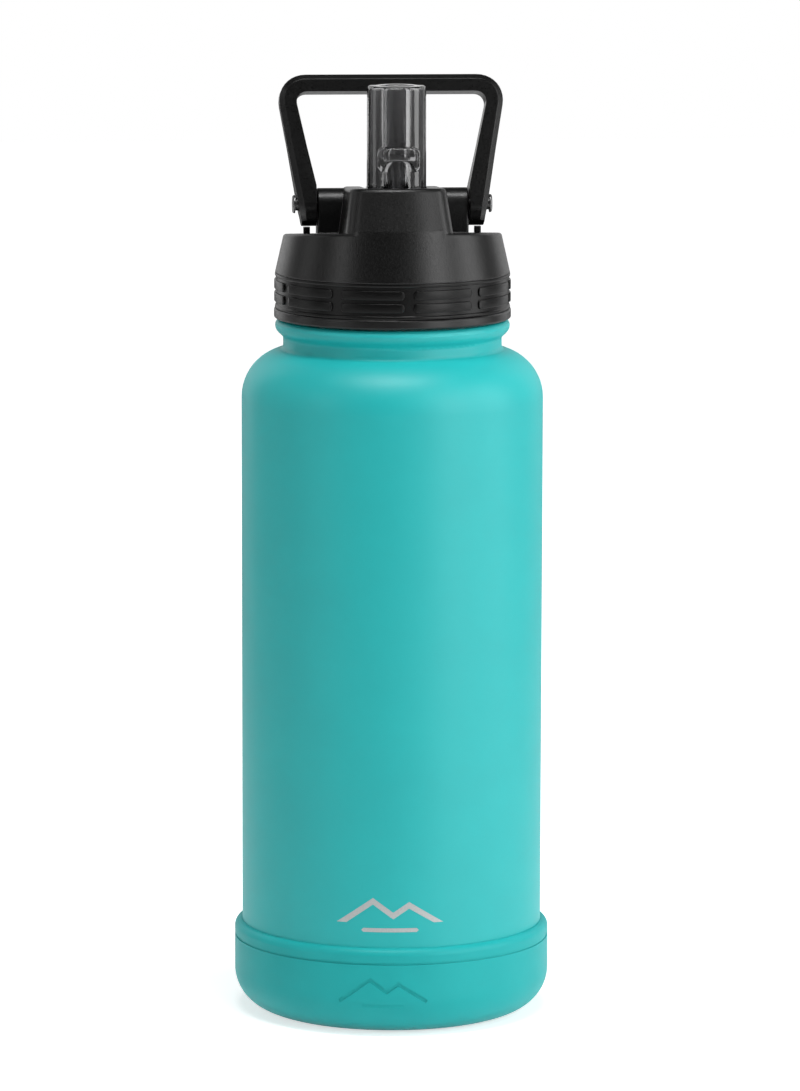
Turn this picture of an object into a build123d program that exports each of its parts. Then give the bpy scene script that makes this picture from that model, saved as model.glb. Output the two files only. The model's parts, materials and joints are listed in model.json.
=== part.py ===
from build123d import *
import os
from math import cos, radians, sin, tan

# Insulated water bottle with a flip-up drinking spout, a swinging carry handle
# and a silicone boot. Millimetres, +Z up, origin on the bottle's axis at the
# surface it stands on, front of the lid towards -Y.

os.makedirs("parts", exist_ok=True)

# ---------------------------------------------------------------- clearances
fit = 0.05            # pieces pressed or glued together in one body
running = 0.08        # a pin in its bore, on the radius
moving_gap = 0.3      # faces that move past each other

# ------------------------------------------------------------- steel bottle
body_r = 45.0         # outside of the straight side
sheet = 0.5           # both steel walls
vacuum_gap = 3.0      # between the walls along the side
shoulder_z = 185.4    # top of the straight side
shoulder_arc = 14.5   # radius of the shoulder's bend
shoulder_turn = 77.0  # degrees that the shoulder bends through
neck_arc = 1.5        # hollow bends above and below the waist
waist_height = 1.9    # straight part of the waist
flare_turn = 48.0     # degrees that the neck leans back out
flare_run = 1.3
bead_low_arc = 2.8    # rolled bead around the mouth, below its widest line
bead_high_arc = 1.85  # and above it
neck_bore_r = 28.2    # mouth, at the thread's root
inner_drop = 9.0      # the inner wall bends in this much lower than the outer
inner_corner = 10.0
seam_z = 18.0         # weld between the side and the base cup
foot_dish = 2.0       # height of the dish in the middle of the base
foot_dish_r = 18.0
floor_gap = 5.5       # vacuum under the inner vessel
port_r = 2.0          # evacuation port

# ------------------------------------------------------------- silicone boot
boot_wall = 2.2
boot_floor = 2.6
boot_corner = 12.0
boot_rim_z = 26.8
boot_dish = 0.8
boot_dish_r = 22.0
boot_line_z = 22.4    # fine groove below the rim
boot_line_depth = 0.3
mark_turn = -7.5      # the marks are turned a little from the lid's front
boot_mark_z = 13.6
boot_mark_width = 25.0
mark_depth = 0.35

# --------------------------------------------------------------- lid threads
pitch = 5.0
thread_turns = 1.5
thread_drop = 13.8    # from the mouth down to the lower end of the neck's ridge
ridge_root = 1.2      # half of the ridge's width at its root
ridge_crest = 0.5     # and at its crest
neck_ridge = 1.2      # height of the ridge in the neck
plug_ridge = 1.4      # height of the ridge on the plug
plug_r = 26.4
plug_wall = 2.2
plug_depth = 18.8     # how far the plug reaches below the mouth

# ----------------------------------------------------------------- lid shell
lid_gap = 0.4         # shadow line between the mouth and the lid
band_r = 35.3
band_height = 2.9
ring_height = 10.6
ring_r = 34.75
ring_thickness = 1.4
lug_height = 2.7
lug_length = 19.0
lug_proud = 0.5
lug_columns = 10
lug_first = -91.1     # degrees, a gap almost at the lid's front
lug_step = 3.75       # between the two rows
cone_low_r = 35.0
cone_top_r = 32.4
cone_height = 11.5
cone_edge = 1.0
ledge_slope = 5.5     # degrees that the ledges beside the dome fall to the back
cone_wall = 3.4
deck = 2.5            # thickness of the deck under the spout's trough

# --------------------------------------------------------------------- dome
dome_height = 15.7
dome_top_half = 14.1
dome_low_half = 16.5
dome_top_r = 26.6
dome_slope = 4.0      # degrees that the top falls to the back
dome_back_y = 9.0
dome_corner = 6.0
dome_edge = 1.4

# -------------------------------------------------------------------- spout
spout_y = -14.0
spout_up = 6.7        # height of the spout's pivot over the lid's shelf
spout_r = 8.8
spout_bore = 3.0      # straight through the drum
spout_length = 38.4   # from the pivot to the rim
spout_rim = 1.0
trunnion_r = 2.5
trunnion_length = 3.0
tab_width = 12.9
tab_height = 7.4
tab_proud = 3.5
tab_from_rim = 17.6   # from the rim down to the tab's top

# ------------------------------------------------------------------- handle
pivot_y = 2.0
pivot_up = 8.6        # height of the handle's pivot over the lid's shelf
boss_r = 4.8
boss_end_x = 22.5
boss_edge = 0.5
lean = 12.0           # degrees back from upright
handle_top = 38.4     # from the pivot to the top of the bar
handle_bar = 5.2
handle_depth = 7.8
leg_gap = 0.3         # between the boss and the leg
leg_foot = 5.4        # thickness of the leg at the pivot
leg_outer_slope = 9.8
leg_inner_slope = 12.4
leg_straight = 5.0    # the inner face is upright this far over the pivot
outer_corner = 7.9
inner_corner_r = 3.2
eye_r = 6.5
edge_chamfer = 1.3
pin_r = 1.9
pin_head_r = 2.7
pin_head = 0.8
rib_width = 1.9
rib_length = 2.4

# ------------------------------------------------------- straw and lid inside
straw_r = 4.0
straw_bore = 3.2
straw_floor_gap = 4.0
socket_wall = 1.5
socket_depth = 6.0
cover_thickness = 2.5
flange_thickness = 2.5
gasket_width = 3.0
gasket_height = 2.1
gasket_inset = 0.25   # from the outer edge of the mouth's flat
flange_lap = 1.4      # how far the shell's ledge reaches over the gasket
seal_r = 5.2
seal_bore = 3.0
seat_depth = 1.9      # the seal lies flush in the trough's floor
vent_y = 12.0
vent_stem_r = 2.0

# ------------------------------------------------------------ derived places
base_z = boot_floor
base_corner = boot_corner - boot_floor
boot_r = body_r + fit + boot_wall
vessel_r = body_r - sheet - vacuum_gap
vessel_z = base_z + sheet + floor_gap
vessel_shoulder_z = shoulder_z - inner_drop
neck_outer_r = neck_bore_r + sheet


def bottle_side(bottom_z):
    """Outside line of the steel bottle, from bottom_z up to the mouth."""
    side = Line((body_r, bottom_z), (body_r, shoulder_z))
    shoulder = JernArc(side @ 1, side % 1, shoulder_arc, shoulder_turn)
    hollow = JernArc(shoulder @ 1, shoulder % 1, neck_arc, -shoulder_turn)
    waist = Line(hollow @ 1, (hollow @ 1) + (hollow % 1) * waist_height)
    flare_bend = JernArc(waist @ 1, waist % 1, neck_arc, -flare_turn)
    flare = Line(flare_bend @ 1, (flare_bend @ 1) + (flare_bend % 1) * flare_run)
    bead_low = JernArc(flare @ 1, flare % 1, bead_low_arc, flare_turn)
    bead_high = JernArc(bead_low @ 1, bead_low % 1, bead_high_arc, 90)
    lip = Line(bead_high @ 1, (neck_outer_r + fit, (bead_high @ 1).Y))
    return [side, shoulder, hollow, waist, flare_bend, flare, bead_low, bead_high, lip]


# Height of the mouth, measured off the same line that makes the bottle.
with BuildLine() as side_line:
    bottle_side(seam_z)
mouth_z = side_line.line.bounding_box().max.Y
lip_r = side_line.edges()[-1].bounding_box().max.X

band_z = mouth_z + lid_gap
ring_z = band_z + band_height
cone_z = ring_z + ring_height
shelf_z = cone_z + cone_height
seat_r = ring_r - ring_thickness          # where the rubber ring sits
gasket_outer_r = lip_r - gasket_inset
gasket_inner_r = gasket_outer_r - gasket_width
step_r = gasket_inner_r - moving_gap
skirt_inner_r = step_r + flange_lap
pivot_z = shelf_z + pivot_up
spout_pivot_z = shelf_z + spout_up
trough_z = spout_pivot_z - spout_r - moving_gap
deck_z = trough_z - deck
drum_half = spout_r + 0.1
slot_half = drum_half + moving_gap + 0.1
slot_front_y = spout_y - spout_r - moving_gap
slot_back_y = spout_y + spout_length + 2.1
flange_z = mouth_z + fit + gasket_height + fit
thread_z = mouth_z - thread_drop
plug_bottom_z = mouth_z - plug_depth
straw_top_z = plug_bottom_z + cover_thickness
spout_wall = spout_r - spout_bore


def facing_plane(turn, height):
    """Upright plane through the axis, facing out at turn degrees from -Y."""
    out = (sin(radians(turn)), -cos(radians(turn)), 0)
    right = (cos(radians(turn)), sin(radians(turn)), 0)
    return Plane(origin=(0, 0, height), x_dir=right, z_dir=out)


def helix_ridge(radius, bottom_z, points):
    """Screw ridge swept along a helix; points are (out, up) from its line."""
    with BuildPart() as ridge:
        with BuildLine() as path:
            Helix(pitch, pitch * thread_turns, radius, center=(0, 0, bottom_z))
        start = Plane(origin=path.line @ 0, x_dir=(1, 0, 0), z_dir=path.line % 0)
        with BuildSketch(start):
            Polygon(*points, align=None)
        sweep(path=path.line, is_frenet=True)
    return ridge.part


# ============================================================ steel bottle
with BuildPart() as outer_shell:
    with BuildSketch(Plane.XZ):
        with BuildLine():
            bottle_side(seam_z)
            offset(amount=sheet, side=Side.LEFT)
        make_face()
    revolve(axis=Axis.Z)
outer_shell.part.label = "outer_shell"

with BuildPart() as base_cup:
    with BuildSketch(Plane.XZ):
        with BuildLine():
            dish = Line((port_r, base_z + foot_dish), (foot_dish_r, base_z + foot_dish))
            slope = Line(dish @ 1, (foot_dish_r + foot_dish * 1.5, base_z))
            foot = Line(slope @ 1, (body_r - base_corner, base_z))
            bend = JernArc(foot @ 1, foot % 1, base_corner, 90)
            Line(bend @ 1, (body_r, seam_z))
            offset(amount=sheet, side=Side.LEFT)
        make_face()
    revolve(axis=Axis.Z)
base_cup.part.label = "base_cup"

neck_points = [
    (sheet / 2, -ridge_root),
    (-neck_ridge, -ridge_crest),
    (-neck_ridge, ridge_crest),
    (sheet / 2, ridge_root),
]
with BuildPart() as inner_vessel:
    with BuildSketch(Plane.XZ):
        with BuildLine():
            floor = Line((0, vessel_z), (vessel_r - inner_corner, vessel_z))
            corner = JernArc(floor @ 1, floor % 1, inner_corner, 90)
            side = Line(corner @ 1, (vessel_r, vessel_shoulder_z))
            bend_r = shoulder_arc - sheet - vacuum_gap
            bend = JernArc(side @ 1, side % 1, bend_r, shoulder_turn)
            # The bend back to upright ends exactly on the neck's radius.
            back_r = ((bend @ 1).X - neck_outer_r) / (1 - cos(radians(shoulder_turn)))
            back = JernArc(bend @ 1, bend % 1, back_r, -shoulder_turn)
            Line(back @ 1, (neck_outer_r, mouth_z))
            offset(amount=sheet, side=Side.LEFT)
        make_face()
    revolve(axis=Axis.Z)
    add(helix_ridge(neck_bore_r, thread_z, neck_points))
inner_vessel.part.label = "inner_vessel"

with BuildPart() as vacuum_plug:
    with BuildSketch(Plane.XY.offset(base_z + foot_dish)):
        Circle(port_r * 2.5)
    extrude(amount=-sheet)
    fillet(vacuum_plug.edges().group_by(Axis.Z)[0], sheet / 2)
    with BuildSketch(Plane.XY.offset(base_z + foot_dish)):
        Circle(port_r - fit)
    extrude(amount=sheet)
vacuum_plug.part.label = "vacuum_plug"

with BuildPart() as getter:
    with BuildSketch(Plane.XY.offset(vessel_z)):
        with Locations((0, foot_dish_r / 2)):
            SlotOverall(14, 6)
    extrude(amount=-sheet * 2)
    fillet(getter.edges().group_by(Axis.Z)[0], sheet / 2)
getter.part.label = "getter"

# =========================================================== silicone boot
with BuildPart() as boot_mark:
    ridge_w = boot_mark_width
    ridge_t = 1.1
    with BuildSketch(facing_plane(mark_turn, boot_mark_z)):
        with BuildLine():
            peaks = Polyline(
                (-ridge_w / 2, -2.4),
                (-ridge_w * 0.16, 4.0),
                (ridge_w * 0.04, 0.4),
                (ridge_w * 0.18, 2.8),
                (ridge_w / 2, -2.4),
            )
            offset(peaks, amount=ridge_t / 2, side=Side.BOTH)
        make_face()
        with Locations((0, -4.0)):
            SlotOverall(ridge_w * 0.5, ridge_t)
    extrude(amount=boot_r + 5)
    with BuildSketch(Plane.XY):
        Circle(boot_r + 5)
        Circle(boot_r - mark_depth, mode=Mode.SUBTRACT)
    extrude(amount=boot_rim_z, mode=Mode.INTERSECT)

with BuildPart() as silicone_boot:
    with BuildSketch(Plane.XZ):
        with BuildLine():
            dish = Line((0, boot_dish), (boot_dish_r, boot_dish))
            slope = Line(dish @ 1, (boot_dish_r + boot_dish, 0))
            foot = Line(slope @ 1, (boot_r - boot_corner, 0))
            bend = JernArc(foot @ 1, foot % 1, boot_corner, 90)
            side = Line(bend @ 1, (boot_r, boot_rim_z - boot_wall))
            rim = JernArc(side @ 1, side % 1, boot_wall, 90)
            inside = Line(rim @ 1, (body_r + fit, base_z + base_corner))
            fold = JernArc(inside @ 1, inside % 1, base_corner + fit, -90)
            top = Line(fold @ 1, (0, base_z - fit))
            Line(top @ 1, dish @ 0)
        make_face()
        with Locations((boot_r, boot_line_z)):
            Rectangle(boot_line_depth * 2, 0.7, mode=Mode.SUBTRACT)
    revolve(axis=Axis.Z)
    add(boot_mark.part, mode=Mode.SUBTRACT)
silicone_boot.part.label = "silicone_boot"

# =============================================================== lid shell
# The cone and the dome's front are one round flank with a slight bend. The
# dome keeps it to the top, and the ledges beside the dome cut it short.
dome_top_z = shelf_z + dome_height
ledge_rise = cone_low_r * tan(radians(ledge_slope))
flank_bend_z = shelf_z + ledge_rise
flank_bend_r = cone_top_r - (cone_low_r - cone_top_r) * ledge_rise / cone_height
with BuildPart() as flank:
    with BuildSketch(Plane.XZ):
        Polygon(
            (cone_low_r, cone_z),
            (flank_bend_r, flank_bend_z),
            (dome_top_r, dome_top_z),
            (0, dome_top_z),
            (0, cone_z),
            align=None,
        )
    revolve(axis=Axis.Z)

with BuildPart() as ledge:
    add(flank.part)
    with BuildSketch(Plane.YZ):
        Polygon(
            (-cone_low_r, shelf_z + ledge_rise),
            (cone_low_r, shelf_z - ledge_rise),
            (cone_low_r, dome_top_z + cone_edge),
            (-cone_low_r, dome_top_z + cone_edge),
            align=None,
        )
    extrude(amount=cone_low_r, both=True, mode=Mode.SUBTRACT)
    fillet(ledge.faces().sort_by(Axis.Z)[-1].edges(), cone_edge)

with BuildPart() as dome:
    with BuildSketch(Plane.XZ):
        Polygon(
            (-dome_low_half, shelf_z - cone_edge * 2),
            (dome_low_half, shelf_z - cone_edge * 2),
            (dome_top_half, dome_top_z),
            (-dome_top_half, dome_top_z),
            align=None,
        )
    extrude(amount=cone_low_r, both=True)
    fall = (dome_back_y + dome_top_r) * tan(radians(dome_slope))
    with BuildSketch(Plane.YZ):
        Polygon(
            (-cone_low_r, shelf_z - cone_edge * 2),
            (dome_back_y, shelf_z - cone_edge * 2),
            (dome_back_y, dome_top_z - fall),
            (-dome_top_r, dome_top_z),
            (-cone_low_r, dome_top_z),
            align=None,
        )
    extrude(amount=cone_low_r, both=True, mode=Mode.INTERSECT)
    add(flank.part, mode=Mode.INTERSECT)
    upright = dome.edges().filter_by(lambda e: abs(e.tangent_at(0.5).Z) > 0.8)
    fillet(upright.filter_by(lambda e: e.center().Y < 0), dome_corner)
    upright = dome.edges().filter_by(lambda e: abs(e.tangent_at(0.5).Z) > 0.8)
    fillet(upright.group_by(Axis.Y)[-1], dome_edge * 1.5)
    top_face = dome.faces().sort_by(Axis.Z)[-1]
    fillet(top_face.edges(), dome_edge)

with BuildPart() as boss:
    boss_low = shelf_z - deck
    with BuildSketch(Plane.YZ):
        with Locations((pivot_y, pivot_z)):
            Circle(boss_r)
        with Locations((pivot_y, (pivot_z + boss_low) / 2)):
            Rectangle(boss_r * 2, pivot_z - boss_low)
    extrude(amount=boss_end_x, both=True)
    fillet(boss.faces().filter_by(Axis.X).edges(), boss_edge)

rib_x = boss_end_x + leg_gap + leg_foot / 2
with BuildPart() as cap_shell:
    with BuildSketch(Plane.XZ):
        Polygon(
            (0, band_z),
            (band_r, band_z),
            (band_r, ring_z),
            (seat_r, ring_z),
            (seat_r, cone_z),
            (0, cone_z),
            align=None,
        )
    revolve(axis=Axis.Z)
    band_edges = cap_shell.edges().filter_by(
        lambda e: e.geom_type == GeomType.CIRCLE and abs(e.radius - band_r) < 0.01
    )
    fillet(band_edges, 0.5)
    add(ledge.part)
    add(boss.part)
    add(dome.part)
    # Hollow inside, with a ledge that presses on the gasket's place.
    with BuildSketch(Plane.XZ):
        Polygon(
            (0, band_z - lid_gap),
            (gasket_outer_r + fit * 2, band_z - lid_gap),
            (gasket_outer_r + fit * 2, flange_z),
            (skirt_inner_r, flange_z),
            (skirt_inner_r, cone_z),
            (cone_top_r - cone_wall, deck_z),
            (0, deck_z),
            align=None,
        )
    revolve(axis=Axis.Z, mode=Mode.SUBTRACT)
    # Detent ribs under the legs.
    with BuildSketch(Plane.XY.offset(shelf_z - cone_edge)):
        with Locations((rib_x, pivot_y), (-rib_x, pivot_y)):
            Rectangle(rib_width, rib_length)
    extrude(amount=cone_edge + pivot_up - eye_r - moving_gap)
    # Trough for the spout, open to the back of the dome.
    slot_middle = (slot_front_y + slot_back_y) / 2
    with BuildSketch(Plane.XY.offset(trough_z)):
        with Locations((0, slot_middle)):
            Rectangle(slot_half * 2, slot_back_y - slot_front_y)
    extrude(amount=dome_height + pivot_up, mode=Mode.SUBTRACT)
    # Blind bores for the spout's trunnions.
    with BuildSketch(Plane.YZ):
        with Locations((spout_y, spout_pivot_z)):
            Circle(trunnion_r + running)
    bore_reach = drum_half + trunnion_length + moving_gap
    extrude(amount=bore_reach, both=True, mode=Mode.SUBTRACT)
    # Bores for the handle's pins.
    for side in (1, -1):
        with BuildSketch(Plane.YZ.offset(side * boss_end_x)):
            with Locations((pivot_y, pivot_z)):
                Circle(pin_r + fit)
        extrude(amount=-side * (boss_end_x - dome_top_half), mode=Mode.SUBTRACT)
    # Seat and outlet under the spout's seal, and the vent.
    with BuildSketch(Plane.XY.offset(trough_z)):
        with Locations((0, spout_y)):
            Circle(seal_r + fit)
    extrude(amount=-seat_depth, mode=Mode.SUBTRACT)
    with BuildSketch(Plane.XY.offset(trough_z)):
        with Locations((0, spout_y)):
            Circle(seal_bore)
        with Locations((0, vent_y)):
            Circle(1.0)
    extrude(amount=-deck, mode=Mode.SUBTRACT)
cap_shell.part.label = "cap_shell"

# =============================================================== grip ring
with BuildPart() as grip_ring:
    with BuildSketch(Plane.XY.offset(ring_z + fit)):
        Circle(ring_r)
        Circle(seat_r + fit, mode=Mode.SUBTRACT)
    extrude(amount=ring_height - fit * 2)
    # A raised lip along each edge.
    for lip_z in (ring_z + fit, cone_z - fit - 1.0):
        with BuildSketch(Plane.XY.offset(lip_z)):
            Circle(ring_r + lug_proud * 0.6)
            Circle(ring_r - 0.2, mode=Mode.SUBTRACT)
        extrude(amount=1.0)
    # Two rows of raised pills, each cut from its own block to the ring's round.
    ring_middle = (ring_z + cone_z) / 2
    for row in (-0.5, 0.5):
        for column in range(lug_columns):
            turn = lug_first + 90 + (column + 0.5) * 360 / lug_columns
            face = facing_plane(turn, ring_middle + row * lug_step)
            with BuildSketch(face.offset(ring_r - 3.0)):
                SlotOverall(lug_length, lug_height)
            extrude(amount=3.0 + lug_proud * 2, mode=Mode.ADD)
    with BuildSketch(Plane.XY.offset(ring_z)):
        Circle(ring_r + lug_proud)
        Circle(seat_r + fit, mode=Mode.SUBTRACT)
    extrude(amount=ring_height, mode=Mode.INTERSECT)
grip_ring.part.label = "grip_ring"

# ===================================================== plug and lid inside
plug_points = [
    (-plug_wall / 4, -ridge_root),
    (plug_ridge, -ridge_crest),
    (plug_ridge, ridge_crest),
    (-plug_wall / 4, ridge_root),
]
with BuildPart() as cap_plug:
    with BuildSketch(Plane.XZ):
        Polygon(
            (plug_r - plug_wall, plug_bottom_z),
            (plug_r, plug_bottom_z),
            (plug_r, mouth_z + lid_gap * 2),
            (step_r, mouth_z + lid_gap * 2),
            (step_r, flange_z),
            (skirt_inner_r - fit, flange_z),
            (skirt_inner_r - fit, flange_z + flange_thickness),
            (plug_r - plug_wall, flange_z + flange_thickness),
            align=None,
        )
    revolve(axis=Axis.Z)
    add(helix_ridge(plug_r, thread_z - pitch / 2, plug_points))
cap_plug.part.label = "cap_plug"

with BuildPart() as cap_gasket:
    with BuildSketch(Plane.XY.offset(mouth_z + fit)):
        Circle(gasket_outer_r)
        Circle(gasket_inner_r, mode=Mode.SUBTRACT)
    extrude(amount=gasket_height)
    fillet(cap_gasket.edges(), 0.6)
cap_gasket.part.label = "cap_gasket"

socket_r = straw_r + fit + socket_wall
with BuildPart() as plug_cover:
    with BuildSketch(Plane.XY.offset(plug_bottom_z)):
        Circle(plug_r - plug_wall - fit)
        with Locations((0, spout_y)):
            Circle(socket_r + 1.5 + fit, mode=Mode.SUBTRACT)
        with Locations((0, vent_y)):
            Circle(vent_stem_r + fit, mode=Mode.SUBTRACT)
    extrude(amount=cover_thickness)
plug_cover.part.label = "plug_cover"

with BuildPart() as straw_grommet:
    with BuildSketch(Plane.XY.offset(plug_bottom_z)):
        with Locations((0, spout_y)):
            Circle(socket_r + 1.5)
            Circle(socket_r + fit, mode=Mode.SUBTRACT)
    extrude(amount=cover_thickness)
straw_grommet.part.label = "straw_grommet"

socket_low_z = straw_top_z - socket_depth
with BuildPart() as straw_socket:
    with BuildSketch(Plane.XY.offset(socket_low_z)):
        with Locations((0, spout_y)):
            Circle(socket_r)
    extrude(amount=deck_z - socket_low_z)
    with BuildSketch(Plane.XY.offset(socket_low_z)):
        with Locations((0, spout_y)):
            Circle(straw_r + fit)
    extrude(amount=socket_depth, mode=Mode.SUBTRACT)
    with BuildSketch(Plane.XY.offset(socket_low_z)):
        with Locations((0, spout_y)):
            Circle(straw_bore)
    extrude(amount=deck_z - socket_low_z, mode=Mode.SUBTRACT)
straw_socket.part.label = "straw_socket"

straw_low_z = vessel_z + sheet + straw_floor_gap
with BuildPart() as straw:
    with BuildSketch(Plane.XY.offset(straw_low_z)):
        with Locations((0, spout_y)):
            Circle(straw_r)
            Circle(straw_bore, mode=Mode.SUBTRACT)
    extrude(amount=straw_top_z - straw_low_z)
    # The lower end is cut at a slant, so it can't seal on the floor.
    with BuildSketch(Plane.YZ):
        Polygon(
            (spout_y - straw_r, straw_low_z),
            (spout_y + straw_r, straw_low_z),
            (spout_y + straw_r, straw_low_z + straw_r),
            align=None,
        )
    extrude(amount=straw_r, both=True, mode=Mode.SUBTRACT)
straw.part.label = "straw"

with BuildPart() as vent_valve:
    with BuildSketch(Plane.XY.offset(straw_top_z)):
        with Locations((0, vent_y)):
            Circle(vent_stem_r * 1.8)
    extrude(amount=sheet)
    with BuildSketch(Plane.XY.offset(straw_top_z)):
        with Locations((0, vent_y)):
            Circle(vent_stem_r)
    extrude(amount=-cover_thickness)
    # Duckbill under the cover.
    with BuildSketch(Plane.XY.offset(plug_bottom_z)):
        with Locations((0, vent_y)):
            Circle(vent_stem_r)
    with BuildSketch(Plane.XY.offset(plug_bottom_z - 3.0)):
        with Locations((0, vent_y)):
            Rectangle(vent_stem_r * 2, 0.8)
    loft()
    with BuildSketch(Plane.XY.offset(straw_top_z + sheet)):
        with Locations((0, vent_y)):
            Circle(0.8)
    extrude(amount=-cover_thickness, mode=Mode.SUBTRACT)
vent_valve.part.label = "vent_valve"

with BuildPart() as lid_insulation:
    with BuildSketch(Plane.XY.offset(straw_top_z + sheet + moving_gap)):
        Circle(plug_r - plug_wall - fit)
        with Locations((0, spout_y)):
            Circle(socket_r + fit, mode=Mode.SUBTRACT)
        with Locations((0, vent_y)):
            Circle(vent_stem_r * 1.8, mode=Mode.SUBTRACT)
    extrude(amount=flange_z + flange_thickness - straw_top_z - sheet * 2)
lid_insulation.part.label = "lid_insulation"

# ==================================================================== spout
with BuildPart() as spout_seal:
    with BuildSketch(Plane.XY.offset(trough_z - seat_depth)):
        with Locations((0, spout_y)):
            Circle(seal_r)
            Circle(seal_bore, mode=Mode.SUBTRACT)
    extrude(amount=seat_depth)
    seal_lip = spout_seal.edges().group_by(Axis.Z)[-1].sort_by(SortBy.RADIUS)[0]
    chamfer(seal_lip, 0.5)
spout_seal.part.label = "spout_seal"

spout_top_z = spout_pivot_z + spout_length
with BuildPart() as spout:
    with BuildSketch(Plane.XY.offset(spout_pivot_z)):
        with Locations((0, spout_y)):
            Circle(spout_r)
    extrude(amount=spout_length)
    with BuildSketch(Plane.YZ):
        with Locations((spout_y, spout_pivot_z)):
            Circle(spout_r)
    extrude(amount=drum_half, both=True)
    with BuildSketch(Plane.YZ):
        with Locations((spout_y, spout_pivot_z)):
            Circle(trunnion_r)
    extrude(amount=drum_half + trunnion_length, both=True)
    # Thumb tab, hooked on its lower side.
    tab_z = spout_top_z - tab_from_rim
    with BuildSketch(Plane.YZ):
        Polygon(
            (spout_y - spout_r * 0.6, tab_z),
            (spout_y - spout_r - tab_proud, tab_z),
            (spout_y - spout_r - tab_proud, tab_z - tab_height * 0.55),
            (spout_y - spout_r * 0.9, tab_z - tab_height),
            (spout_y - spout_r * 0.6, tab_z - tab_height),
            align=None,
        )
    extrude(amount=tab_width / 2, both=True)
    tab_front = spout.faces().sort_by(Axis.Y)[0]
    fillet(tab_front.edges(), 0.6)
    # One straight bore, which the drum opens and shuts over the seal.
    with BuildSketch(Plane.XY.offset(spout_pivot_z - spout_r * 2)):
        with Locations((0, spout_y)):
            Circle(spout_bore)
    extrude(amount=spout_length + spout_r * 3, mode=Mode.SUBTRACT)
    rim_edges = spout.edges().filter_by(GeomType.CIRCLE).group_by(Axis.Z)[-1]
    fillet(rim_edges, min(spout_rim, spout_wall * 0.4))
spout.part.label = "spout"

# =================================================================== handle
lean_up = (0, sin(radians(lean)), cos(radians(lean)))
handle_plane = Plane(
    origin=(0, pivot_y, pivot_z),
    x_dir=(1, 0, 0),
    z_dir=(0, -cos(radians(lean)), sin(radians(lean))),
)
side_plane = Plane(origin=(0, pivot_y, pivot_z), x_dir=lean_up, z_dir=(1, 0, 0))
leg_in = boss_end_x + leg_gap
leg_out = leg_in + leg_foot
outer_rise = tan(radians(leg_outer_slope))
inner_rise = tan(radians(leg_inner_slope))
bar_under = handle_top - handle_bar
top_out = leg_out + handle_top * outer_rise
top_in = leg_in + (bar_under - leg_straight) * inner_rise
foot_out = leg_out - eye_r * outer_rise


def on_outer_rim(edge):
    """Edges of the hoop's outer side, front and back."""
    spot = handle_plane.to_local_coords(edge.position_at(0.5))
    if abs(spot.Z) < handle_depth / 4:
        return False
    leg_line = leg_out + spot.Y * outer_rise
    corner_low = handle_top - outer_corner
    in_corner = spot.Y > corner_low and abs(spot.X) > leg_line - outer_corner
    return spot.Y > handle_top - 0.01 or abs(spot.X) > leg_line - 0.01 or in_corner


with BuildPart() as carry_handle:
    with BuildSketch(handle_plane) as hoop:
        Polygon(
            (foot_out, -eye_r),
            (top_out, handle_top),
            (-top_out, handle_top),
            (-foot_out, -eye_r),
            align=None,
        )
        fillet(hoop.vertices().group_by(Axis.Y)[-1], outer_corner)
    extrude(amount=eye_r, both=True)
    with BuildSketch(handle_plane) as window:
        Polygon(
            (leg_in, -eye_r * 2),
            (leg_in, leg_straight),
            (top_in, bar_under),
            (-top_in, bar_under),
            (-leg_in, leg_straight),
            (-leg_in, -eye_r * 2),
            align=None,
        )
        fillet(window.vertices().group_by(Axis.Y)[-1], inner_corner_r)
    extrude(amount=eye_r * 2, both=True, mode=Mode.SUBTRACT)
    # Seen from the side, the legs taper from the round eyes to the bar.
    with BuildSketch(side_plane):
        Circle(eye_r)
        taper_end = eye_r * 2.6
        Polygon(
            (0, -eye_r),
            (taper_end, -handle_depth / 2),
            (handle_top, -handle_depth / 2),
            (handle_top, handle_depth / 2),
            (taper_end, handle_depth / 2),
            (0, eye_r),
            align=None,
        )
    extrude(amount=top_out, both=True, mode=Mode.INTERSECT)
    chamfer(carry_handle.edges().filter_by(on_outer_rim), edge_chamfer)
    with BuildSketch(Plane.YZ):
        with Locations((pivot_y, pivot_z)):
            Circle(pin_r + running)
    extrude(amount=top_out, both=True, mode=Mode.SUBTRACT)
carry_handle.part.label = "carry_handle"


def handle_pin(side):
    """Rivet pin pressed into the boss, with its head outside the leg."""
    foot = dome_top_half + fit
    head_x = leg_out + moving_gap + pin_head_r * outer_rise
    with BuildPart() as pin:
        with BuildSketch(Plane.YZ.offset(side * foot)):
            with Locations((pivot_y, pivot_z)):
                Circle(pin_r)
        extrude(amount=side * (head_x - foot))
        with BuildSketch(Plane.YZ.offset(side * head_x)):
            with Locations((pivot_y, pivot_z)):
                Circle(pin_head_r)
        extrude(amount=side * pin_head)
        fillet(pin.faces().sort_by(Axis.X)[-1 if side > 0 else 0].edges(), 0.5)
    return pin.part


handle_pin_right = handle_pin(1)
handle_pin_right.label = "handle_pin_right"
handle_pin_left = handle_pin(-1)
handle_pin_left.label = "handle_pin_left"

pieces = [
    outer_shell.part,
    base_cup.part,
    inner_vessel.part,
    vacuum_plug.part,
    getter.part,
    silicone_boot.part,
    cap_shell.part,
    grip_ring.part,
    cap_plug.part,
    cap_gasket.part,
    plug_cover.part,
    straw_grommet.part,
    straw_socket.part,
    straw.part,
    vent_valve.part,
    lid_insulation.part,
    spout_seal.part,
    spout.part,
    carry_handle.part,
    handle_pin_left,
    handle_pin_right,
]
for piece in pieces:
    export_step(piece, f"parts/{piece.label}.step")
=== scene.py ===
import json
from math import cos, pi, radians, sin, sqrt, tan
import bmesh
import bpy
from mathutils import Matrix, Vector


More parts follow.
